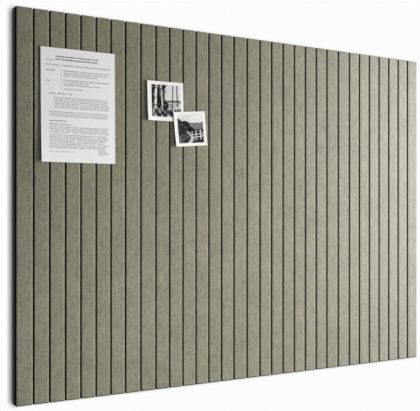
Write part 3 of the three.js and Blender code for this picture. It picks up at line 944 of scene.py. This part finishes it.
# Shares of its radius
MIDDLE, FRONT_INSET = 0.01, 0.98
RIM_STEPS, DISH_STEPS = 8, 10
# The dish's slope, where it starts on the way inwards, and its power
DISH_SLOPE, DISH_START, DISH_POWER = 1.6, 0.2, 1.5
BUMPER_SHARP = 45


def make_bumper(node):
    """A round rubber foot with a rolled rim and a shallow dish in the face that meets the wall. The rim is a
    quarter circle, and the dish sinks by a power of the way inwards until it is flat."""
    low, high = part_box(node)
    radius, thick = (high.x - low.x) / 2, high.y - low.y
    centre = Vector(((low.x + high.x) / 2, low.y, (low.z + high.z) / 2))
    front = [[MIDDLE * radius, 0], [radius * FRONT_INSET, 0], [radius, FRONT_ROUND * thick]]
    rim = RIM_ROUND * thick
    angle = np.linspace(0, np.pi / 2, RIM_STEPS)
    side = np.column_stack([radius - rim + rim * np.cos(angle), thick - rim + rim * np.sin(angle)])
    inwards = np.linspace(0, 1, DISH_STEPS)[1:]
    sunk = np.clip(inwards * DISH_SLOPE - DISH_START, 0, 1) ** DISH_POWER
    dish = np.column_stack([(radius - rim) * (1 - inwards) + MIDDLE * radius, thick - DISH_DEEP * thick * sunk])
    profile = np.vstack([front, side, dish])
    points = turned(profile, centre, BUMPER_TURNS)
    faces = closed_faces(len(profile), BUMPER_TURNS)
    return new_piece(node.replace("bumper_", "rubber_foot_"), points, faces, node, black_rubber,
                     BUMPER_SHARP)


bumpers = [make_bumper(node) for node in ("bumper_left", "bumper_right")]
print("bumpers:", len(bumpers))

# %% [markdown]
# ## Sheets of paper
# A sheet hangs flat from its pad, and its left side and lower left corner curl away from the felt, as paper does
# after some weeks on a wall. The solid in the frame has that shape in coarse steps. Here the same curl is worked
# out on a fine grid, with a thin wall behind it.

# %% Make a curled sheet
FLAT_SHARE = 0.42
RIPPLE, RIPPLE_LONG, RIPPLE_SEED = 0.12, 120, 77
RIPPLE_RAISE = 0.3
# In millimetres and degrees: size, place from the board's upper left corner, tilt, pad, and the rise of the curl
SHEETS = {
    "note_sheet": dict(
        width=210, height=297, thick=0.4, left=62.5, drop=95.7, tilt=0.3, pad=3, side=0, corner=4),
    "photo_print_1": dict(
        width=116, height=110, thick=0.5, left=370.5, drop=156.5, tilt=1.1, pad=3, side=2, corner=4),
    "photo_print_2": dict(
        width=105, height=98, thick=0.5, left=453.4, drop=238.7, tilt=4.9, pad=4, side=1.6, corner=3.5),
}


def lift(share):
    """None over the flat part, then a rise with the square of the way beyond it."""
    return np.clip((share - FLAT_SHARE) / (1 - FLAT_SHARE), 0, 1) ** 2


def page_grid(columns, rows):
    """Shares of the way to the right and down for each point of a page."""
    return np.meshgrid(np.linspace(0, 1, columns), np.linspace(0, 1, rows))


def two_sided_faces(rows, columns):
    """Faces of a back grid and of a front grid whose points follow it, and of the thin edge all round."""
    count = rows * columns
    faces = sheet_faces(rows, columns)
    rim = np.r_[np.arange(columns), np.arange(1, rows) * columns + columns - 1,
                (rows - 1) * columns + np.arange(columns - 2, -1, -1), np.arange(rows - 2, 0, -1) * columns]
    after = np.roll(rim, -1)
    edge = np.stack([rim, after, after + count, rim + count], axis=-1)
    return np.vstack([faces, faces + count, edge])


def make_sheet(node, name, material, columns, rows):
    """Front and back grids joined round their rims, curled, turned by the tilt and hung at their corner. The
    curl is the rise of the left side plus that of the lower left corner and a slight ripple. A map of the page
    and a mark for its printed side are kept for the material."""
    size = SHEETS[node]
    to_right, down = page_grid(columns, rows)
    across, drop = to_right * size["width"], -down * size["height"]
    curl = size["side"] * lift(1 - to_right) + size["corner"] * lift(1 - to_right) * lift(down)
    curl = curl + RIPPLE * soft_waves(across, -drop, RIPPLE_LONG, RIPPLE_SEED) * lift(down + RIPPLE_RAISE)
    tilt = math.radians(size["tilt"])
    x = board_left + MM * (size["left"] + across * math.cos(tilt) - drop * math.sin(tilt))
    z = board_top + MM * (-size["drop"] + across * math.sin(tilt) + drop * math.cos(tilt))
    back_y = felt_front - MM * (size["pad"] + np.maximum(curl, 0))
    back = np.stack([x, back_y, z], axis=-1).reshape(-1, 3)
    front = np.stack([x, back_y - MM * size["thick"], z], axis=-1).reshape(-1, 3)
    points = np.concatenate([back, front])
    piece = new_piece(name, points, two_sided_faces(rows, columns), node, material)
    corners = read_all(piece.data.loops, "vertex_index", kind=np.int32)
    page = np.stack([to_right, 1 - down], axis=-1).reshape(-1, 2)
    page_map = np.concatenate([page, page])[corners].astype(np.float32)
    piece.data.uv_layers.new(name="page").data.foreach_set("uv", page_map.ravel())
    set_values(piece, "printed_side", np.r_[np.zeros(len(back)), np.ones(len(front))])
    return piece


print("sheets:", list(SHEETS))

# %% [markdown]
# ## The typed page
# From where the photo is taken, typing is only grey lines. The page is laid out as blocks of lines, and a group
# of nodes draws one block: it counts lines down the page, keeps a band of each, ends it at a ragged right
# margin, and breaks it into words with a noise that runs along it. No letters are drawn.

# %% Build a block of typed lines
BLOCK_VALUES = ("Across", "Down", "Left", "Right", "Top", "Bottom", "Pitch", "Ragged", "Seed")
LINE_SEED_STEP = 7.31

block_group, make, given, result = new_group(
    "typed_block",
    [(name, FLOAT, 0.0) for name in BLOCK_VALUES] + [("Weight", FLOAT, 1.0)],
    [("Ink", FLOAT)],
)
line_place = make.math("DIVIDE", make.math("SUBTRACT", given["Down"], given["Top"]), given["Pitch"])
line_number = make.math("FLOOR", line_place)
line_share = make.math("FRACT", line_place)
band = make.math("MULTIPLY", make.span(line_share, 0.14, 0.22, 0, 1), make.span(line_share, 0.62, 0.7, 1, 0))
line_seed = make.math("ADD", make.math("MULTIPLY", line_number, LINE_SEED_STEP), given["Seed"])
chance = make.add("ShaderNodeTexWhiteNoise", {"W": line_seed}, noise_dimensions="1D").outputs[0]
line_end = make.math("SUBTRACT", given["Right"], make.math("MULTIPLY", chance, given["Ragged"]))
after_left = make.math("GREATER_THAN", given["Across"], given["Left"])
before_end = make.math("LESS_THAN", given["Across"], line_end)
below_top = make.math("GREATER_THAN", given["Down"], given["Top"])
above_bottom = make.math("LESS_THAN", given["Down"], given["Bottom"])
along_line = make.add("ShaderNodeCombineXYZ", {0: given["Across"], 1: line_seed}).outputs[0]
words = make.span(make.noise(along_line, 0.2, detail=1), 0.35, 0.38, 0, 1)
letter_place = make.add("ShaderNodeCombineXYZ", {
    0: make.math("MULTIPLY", given["Across"], 1.5), 1: make.math("MULTIPLY", line_share, 2.4), 2: line_seed,
}).outputs[0]
strokes = make.span(make.noise(letter_place, 1.0, detail=2, rough=0.7), 0.42, 0.56, 0.3, 1)
ink = make.math("MULTIPLY", band, make.math("MULTIPLY", after_left, before_end))
ink = make.math("MULTIPLY", ink, make.math("MULTIPLY", below_top, above_bottom))
ink = make.math("MULTIPLY", ink, make.math("MULTIPLY", words, strokes))
make.fill(result["Ink"], make.math("MULTIPLY", ink, given["Weight"]))
print("typed block:", len(block_group.nodes), "nodes")

# %% [markdown]
# ## Paper
# Office paper and photo paper are both white with a very fine unevenness, pulp that can be felt more than seen,
# and wide, faint clouds. One small group serves both. A page's own map gives millimetres across and down it, in
# which the typing and the prints' borders are laid out.

# %% Build the paper's own surface
paper_group, make, given, result = new_group(
    "paper_surface",
    [("Vector", VECTOR, None), ("Paper", COLOUR, (0.8, 0.8, 0.8, 1))],
    [("Color", COLOUR), ("Height", FLOAT)],
)
pulp = make.noise(given["Vector"], 900, detail=4, rough=0.65)
cloudy = make.noise(given["Vector"], 60, detail=3)
shade = make.math("ADD", make.span(pulp, 0.3, 0.7, 0.975, 1.01), make.span(cloudy, 0.3, 0.7, -0.02, 0.0))
make.fill(result["Color"], make.blend(1.0, given["Paper"], make.grey(shade), mode="MULTIPLY"))
make.fill(result["Height"], pulp)


def page_coordinates(nodes, width, height):
    """Millimetres across and down the page, from its own map."""
    page = nodes.add("ShaderNodeUVMap", uv_map="page").outputs[0]
    split = nodes.add("ShaderNodeSeparateXYZ", {0: page}).outputs
    across = nodes.math("MULTIPLY", split[0], width)
    down = nodes.math("MULTIPLY", nodes.math("SUBTRACT", 1.0, split[1]), height)
    return across, down


print("paper:", len(paper_group.nodes), "nodes")

# %% Lay out the page and make the note
# Each block: left, right, top, bottom, line pitch and ragged margin in millimetres, then weight and seed
PAGE_BLOCKS = [
    (40, 168, 19, 34, 7.5, 10, 1.0, 1),
    (14, 38, 30, 36, 6.0, 3, 0.7, 2),
    (14, 198, 42, 48, 6.0, 4, 0.75, 3),
    (14, 44, 56, 62, 6.0, 8, 0.9, 4),
    (14, 42, 84, 90, 6.0, 16, 0.8, 5),
    (62, 196, 56, 74, 6.0, 70, 0.75, 6),
    (62, 196, 80, 98, 6.0, 70, 0.75, 7),
    (62, 130, 103, 109, 6.0, 20, 0.7, 8),
    (22, 88, 116, 122, 6.0, 4, 0.9, 9),
    (36, 194, 127, 158, 5.2, 8, 0.72, 10),
    (22, 192, 164, 180, 5.2, 10, 0.72, 11),
    (22, 72, 187, 193, 6.0, 4, 0.9, 12),
    (22, 84, 196, 202, 6.0, 8, 0.75, 13),
    (22, 196, 203, 222, 4.7, 12, 0.75, 14),
    (22, 192, 224, 262, 4.7, 26, 0.75, 15),
    (24, 110, 267, 272, 5.0, 20, 0.5, 16),
    (160, 192, 262, 276, 4.6, 10, 0.8, 17),
]
BLOCK_SEED_STEP = 3.7
# The upright rule between two columns, in millimetres: its middle and half its size
RULE_ACROSS, RULE_HALF_WIDE, RULE_DOWN, RULE_HALF_TALL, RULE_WEIGHT = 57, 0.5, 80, 28, 0.5
OFFICE_PAPER, INK = (0.735, 0.735, 0.74, 1), (0.03, 0.03, 0.035, 1)
NOTE_COLUMNS, NOTE_ROWS = 64, 90


def typed_paper(width, height):
    """White office paper with every block's ink laid on its printed side."""
    material, nodes, shader = new_material("typed_paper", Roughness=0.8, Specular_IOR_Level=0.2)
    surface = place_group(nodes, paper_group, {"Paper": OFFICE_PAPER})
    across, down = page_coordinates(nodes, width, height)
    ink = 0.0
    for left, right, top, bottom, pitch, ragged, weight, seed in PAGE_BLOCKS:
        block = nodes.add("ShaderNodeGroup", {
            "Across": across, "Down": down, "Left": left, "Right": right, "Top": top, "Bottom": bottom,
            "Pitch": pitch, "Ragged": ragged, "Weight": weight, "Seed": seed * BLOCK_SEED_STEP,
        }, node_tree=block_group)
        ink = nodes.math("MAXIMUM", ink, block.outputs["Ink"])
    rule_across = nodes.math("COMPARE", across, RULE_ACROSS, RULE_HALF_WIDE)
    rule_down = nodes.math("COMPARE", down, RULE_DOWN, RULE_HALF_TALL)
    ink = nodes.math("MAXIMUM", ink, nodes.chain("MULTIPLY", rule_across, rule_down, RULE_WEIGHT))
    ink = nodes.math("MULTIPLY", ink, nodes.kept("printed_side"))
    nodes.fill(shader.inputs["Base Color"], nodes.blend(ink, surface["Color"], INK))
    raise_surface(nodes, shader, surface["Height"], distance=0.04 * MM, strength=0.4)
    return material


note_size = SHEETS["note_sheet"]
note_paper = typed_paper(note_size["width"], note_size["height"])
note = make_sheet("note_sheet", "typed_note", note_paper, NOTE_COLUMNS, NOTE_ROWS)
print("note:", len(note.data.vertices), "points,", len(PAGE_BLOCKS), "blocks of lines")

# %% [markdown]
# ## The photo prints
# Each print is a small black-and-white landscape with a white border. Its picture is a formula: for every point
# of the print it gives a tone from black to white, made of hills, water, trunks and sky. The tones are kept on
# the points of a fine grid, and the material adds the grain of the film and the soft gloss of the paper.

# %% Write what the pictures are drawn with


def smooth(share):
    """A share from 0 to 1 that starts and ends gently: three times its square less twice its cube."""
    return share * share * (3 - 2 * share)


def value_noise(across, up, cells, seed, octaves=4):
    """Cloudy tones between 0 and 1. Seeded chance values on a coarse lattice are blended smoothly between its
    points, and each finer lattice adds half as much as the last."""
    chance = np.random.default_rng(seed)
    total, weight = np.zeros_like(across), 0.0
    for octave in range(octaves):
        count = int(cells * 2**octave)
        lattice = chance.random((count + 2, count + 2))
        column, row = np.clip(across, 0, 0.9999) * count, np.clip(up, 0, 0.9999) * count
        left, below = column.astype(int), row.astype(int)
        east, north = smooth(column - left), smooth(row - below)
        low = lattice[below, left] * (1 - east) + lattice[below, left + 1] * east
        high = lattice[below + 1, left] * (1 - east) + lattice[below + 1, left + 1] * east
        total += 0.5**octave * (low * (1 - north) + high * north)
        weight += 0.5**octave
    return total / weight


def contrast(tone, strength):
    """Tones pushed away from the middle by the given strength and held between 0 and 1."""
    return np.clip(0.5 + strength * (tone - 0.5), 0, 1)


def soft_step(value, edge, blur):
    """From 0 below the edge to 1 above it, over the blur."""
    return smooth(np.clip((value - edge) / blur + 0.5, 0, 1))


def soft_bar(value, middle, half, blur):
    """One within a half width of the middle, falling to 0 beyond it over the blur."""
    return 1 - soft_step(np.abs(value - middle), half, blur)


def over(tone, cover, other):
    """The other tone laid over the first where the cover is 1."""
    return tone * (1 - cover) + cover * other


print("a soft step over its blur:", soft_step(np.linspace(-0.5, 0.5, 5), 0, 1).round(2).tolist())

# %% Write the first picture
# Each trunk: its place across, width, lean and the tone of its bark
TRUNKS = (
    (0.14, 0.075, 0.05, 0.95),
    (0.36, 0.05, -0.05, 0.85),
    (0.72, 0.022, 0.03, 0.08),
    (0.88, 0.03, -0.02, 0.14),
)


def lake_with_birches(across, up):
    """A bright lake on the right, a dark wood on the left, pale birch trunks in front and reeds at the foot."""
    nought = np.zeros_like(across)
    tone = 0.93 - 0.08 * value_noise(across, up * 0.5, 5, 2)
    shore = 0.47 + 0.05 * value_noise(across, nought, 7, 3)
    far_wood = 0.42 + 0.2 * value_noise(across, up, 20, 4)
    tone = over(tone, soft_step(0.035 - np.abs(up - shore), 0, 0.02), far_wood)
    ripples = value_noise(across * 0.3, up, 34, 5, 2)
    tone = over(tone, soft_step(shore - 0.03 - up, 0, 0.03), 0.6 + 0.38 * contrast(ripples, 2))
    edge = 0.5 + 0.3 * (value_noise(nought, up, 5, 6) - 0.5)
    leaves = contrast(value_noise(across, up, 13, 7), 2.6)
    tone = over(tone, soft_step(edge - across, 0, 0.08), 0.03 + 0.5 * leaves**2)
    for centre, wide, lean, bark in TRUNKS:
        trunk = soft_bar(across - centre, lean * (up - 0.5), wide / 2, 0.014)
        marks = 1 - 0.8 * soft_step(value_noise(across, up, 26, int(centre * 100)), 0.62, 0.08)
        tone = over(tone, trunk, bark * marks)
    grass = value_noise(across, up * 0.16, 40, 9, 3)
    return over(tone, soft_step(0.12 + 0.26 * grass - up, 0, 0.04), 0.08 + 0.8 * contrast(grass, 2.5) ** 2)


print("first picture:", len(TRUNKS), "trunks by a lake")

# %% Write the second picture
# The fence: the heights of its rails, and each post's place across and half its width
RAILS = (0.34, 0.24)
POSTS = ((0.55, 0.018), (0.7, 0.022), (0.88, 0.028))


def hills_with_a_path(across, up):
    """A pale sky over two hills, the near one dark, with a winding path, a tree and a white fence beside it."""
    nought = np.zeros_like(across)
    tone = 0.84 + 0.14 * value_noise(across * 0.5, up, 6, 21)
    far = 0.66 + 0.1 * value_noise(across, nought, 4, 31)
    tone = over(tone, soft_step(far - up, 0, 0.02), 0.5 + 0.12 * value_noise(across, up, 16, 33))
    near = 0.8 - 0.62 * across + 0.12 * value_noise(across, nought, 6, 41)
    wood = contrast(value_noise(across, up, 18, 43), 2.2)
    tone = over(tone, soft_step(near - up, 0, 0.02), 0.05 + 0.35 * wood)
    meadow = 0.4 - 0.1 * np.cos(across * 3)
    grass = contrast(value_noise(across, up, 14, 45), 1.8)
    tone = over(tone, soft_step(meadow - up, 0, 0.04), 0.1 + 0.5 * grass)
    path = soft_bar(across, 0.42 + 0.12 * np.sin(up * 9), 0.03 + 0.14 * (0.42 - up), 0.04)
    tone = over(tone, path * soft_step(0.42 - up, 0, 0.05), 0.72 + 0.2 * value_noise(across, up, 24, 46))
    crown_edge = 0.13 + 0.16 * (value_noise(across, up, 9, 51, 3) - 0.5)
    crown = soft_step(crown_edge - np.hypot(across - 0.3, (up - 0.63) * 0.8), 0, 0.03)
    tone = over(tone, crown, 0.03 + 0.6 * contrast(value_noise(across, up, 24, 53), 2) ** 2)
    tone = over(tone, soft_bar(across, 0.3, 0.014, 0.008) * soft_bar(up, 0.42, 0.1, 0.02), 0.05)
    for height in RAILS:
        rail = soft_bar(up, height - 0.12 * (1 - across), 0.012, 0.006)
        tone = over(tone, rail * soft_step(across - 0.54, 0, 0.01), 0.95)
    for post_x, wide in POSTS:
        foot, top = 0.02 + 0.1 * across, 0.36 + 0.1 * across
        post = soft_bar(across, post_x, wide, 0.008) * soft_step(up - foot, 0, 0.01) * soft_step(top - up, 0, 0.01)
        tone = over(tone, post, 0.98 - 0.35 * value_noise(across * 3, up, 14, 55))
    return tone


print("second picture: two hills and a fence of", len(POSTS), "posts")

# %% Make the prints
# Each print's border in millimetres: left, right, top, bottom
BORDERS = {"photo_print_1": (13, 9, 9.3, 11), "photo_print_2": (11, 9, 8, 8.5)}
PHOTO_PAPER = (0.74, 0.74, 0.724, 1)
BORDER_BLUR = 0.3
FILM_SCALE, FILM_GRAIN = 2600, 0.05
DEVELOPED, PRINT_WHITE, PRINT_WARMTH = 3.0, 0.84, 0.97
PRINT_POINTS = 190


def print_material(name, width, height, border):
    """Satin photo paper. Inside the border the grid's tones show, with film grain; the back is plain paper."""
    material, nodes, shader = new_material(name, Roughness=0.42, Specular_IOR_Level=0.06)
    surface = place_group(nodes, paper_group, {"Paper": PHOTO_PAPER})
    across, down = page_coordinates(nodes, width, height)
    left, right, top, bottom = border
    from_edges = nodes.chain(
        "MINIMUM", nodes.math("SUBTRACT", across, left), nodes.math("SUBTRACT", width - right, across),
        nodes.math("SUBTRACT", down, top), nodes.math("SUBTRACT", height - bottom, down),
    )
    inside = nodes.span(from_edges, 0, BORDER_BLUR, 0, 1)
    spot = nodes.add("ShaderNodeTexCoord").outputs["Object"]
    film = nodes.span(nodes.noise(spot, FILM_SCALE, detail=1), 0.2, 0.8, -FILM_GRAIN, FILM_GRAIN)
    light = nodes.math("ADD", nodes.kept("tone"), film, clamp=True)
    light = nodes.math("MULTIPLY", nodes.math("POWER", light, DEVELOPED), PRINT_WHITE)
    picture = nodes.grey(light, blue=nodes.math("MULTIPLY", light, PRINT_WARMTH))
    shown = nodes.math("MULTIPLY", inside, nodes.kept("printed_side"))
    nodes.fill(shader.inputs["Base Color"], nodes.blend(shown, surface["Color"], picture))
    raise_surface(nodes, shader, surface["Height"], distance=0.02 * MM, strength=0.3)
    return material


def make_print(node, name, picture):
    """A curled sheet whose points keep the picture's tones."""
    width, height = SHEETS[node]["width"], SHEETS[node]["height"]
    left, right, top, bottom = BORDERS[node]
    material = print_material(name, width, height, BORDERS[node])
    piece = make_sheet(node, name, material, PRINT_POINTS, PRINT_POINTS)
    to_right, down = page_grid(PRINT_POINTS, PRINT_POINTS)
    across = np.clip((to_right * width - left) / (width - left - right), 0, 1)
    up = np.clip(1 - (down * height - top) / (height - top - bottom), 0, 1)
    tones = np.clip(picture(across, up), 0, 1)
    set_values(piece, "tone", np.r_[tones.ravel(), tones.ravel()])
    return piece


prints = [
    make_print("photo_print_1", "lake_print", lake_with_birches),
    make_print("photo_print_2", "hills_print", hills_with_a_path),
]
print("prints:", [piece.name for piece in prints])

# %% [markdown]
# ## The sizes
# The dressed board has to stay the size of its solids. Both boxes are printed.

# %% Print the boxes
visual_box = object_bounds()
for title, box in (("cad", cad_box), ("visual", visual_box)):
    print(title, [tuple(round(value, 4) for value in corner) for corner in box])
